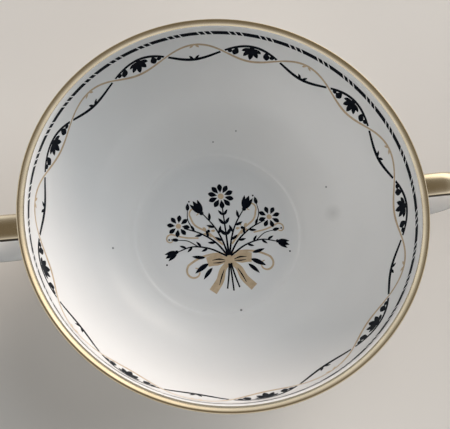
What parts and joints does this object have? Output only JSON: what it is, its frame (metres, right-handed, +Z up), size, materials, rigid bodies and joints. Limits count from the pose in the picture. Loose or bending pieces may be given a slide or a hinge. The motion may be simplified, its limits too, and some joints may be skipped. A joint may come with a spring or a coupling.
{
  "type": "bouillon cup",
  "caption": "Low round china soup cup with a foot ring and a loop handle on each side.",
  "frame": {"origin": "centre of the foot ring, on the plane that the cup stands on", "axes": "+X through the middle of one handle, +Z up the cup's axis, -Y towards the side that the picture in the bowl is read from"},
  "size_m": [0.148, 0.102, 0.045],
  "materials": {
    "china": "gloss",
    "gilding": "satin",
    "black_enamel": "gloss",
    "tan_enamel": "satin"
  },
  "bodies": {
    "root": {"cup": "china"}
  },
  "joints": []
}
